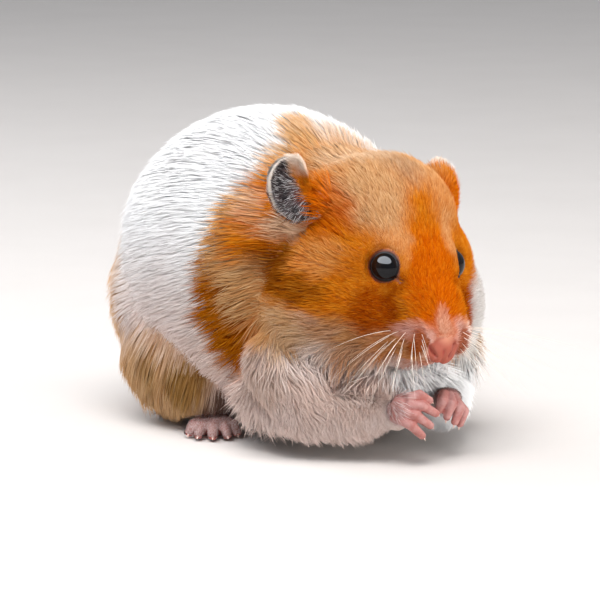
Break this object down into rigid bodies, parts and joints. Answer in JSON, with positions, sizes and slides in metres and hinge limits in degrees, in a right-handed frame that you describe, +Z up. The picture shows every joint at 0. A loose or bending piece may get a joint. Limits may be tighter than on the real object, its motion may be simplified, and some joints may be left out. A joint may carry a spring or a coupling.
{
  "type": "syrian hamster",
  "caption": "Life-size still model of a golden and white Syrian hamster, sitting hunched with its forepaws held together under its chin.",
  "frame": {"origin": "on the floor under the middle of the animal's length and width", "axes": "+Z up, -Y the way the animal faces, +X its left side"},
  "size_m": [0.0588, 0.0982, 0.0664],
  "materials": {
    "fur": "soft dense fur, orange on the head and shoulders, white round the middle",
    "ear": "thin dark grey skin under fine pale hair",
    "bare_skin": "pink, matte, thinly haired",
    "eye": "glossy black",
    "claw": "pale translucent horn"
  },
  "bodies": {
    "root": {"head": "fur", "neck": "fur", "trunk": "fur", "tail": "fur", "foreleg_left": "fur", "foreleg_right": "fur", "hindleg_left": "fur", "hindleg_right": "fur", "ear_left": "ear", "ear_right": "ear", "nose": "bare_skin", "forepaw_left": "bare_skin", "forepaw_right": "bare_skin", "hindfoot_left": "bare_skin", "hindfoot_right": "bare_skin", "eye_left": "eye", "eye_right": "eye", "foreclaw_left_1": "claw", "foreclaw_left_2": "claw", "foreclaw_left_3": "claw", "foreclaw_left_4": "claw", "foreclaw_right_1": "claw", "foreclaw_right_2": "claw", "foreclaw_right_3": "claw", "foreclaw_right_4": "claw", "hindclaw_left_1": "claw", "hindclaw_left_2": "claw", "hindclaw_left_3": "claw", "hindclaw_left_4": "claw", "hindclaw_left_5": "claw", "hindclaw_right_1": "claw", "hindclaw_right_2": "claw", "hindclaw_right_3": "claw", "hindclaw_right_4": "claw", "hindclaw_right_5": "claw"}
  },
  "joints": []
}
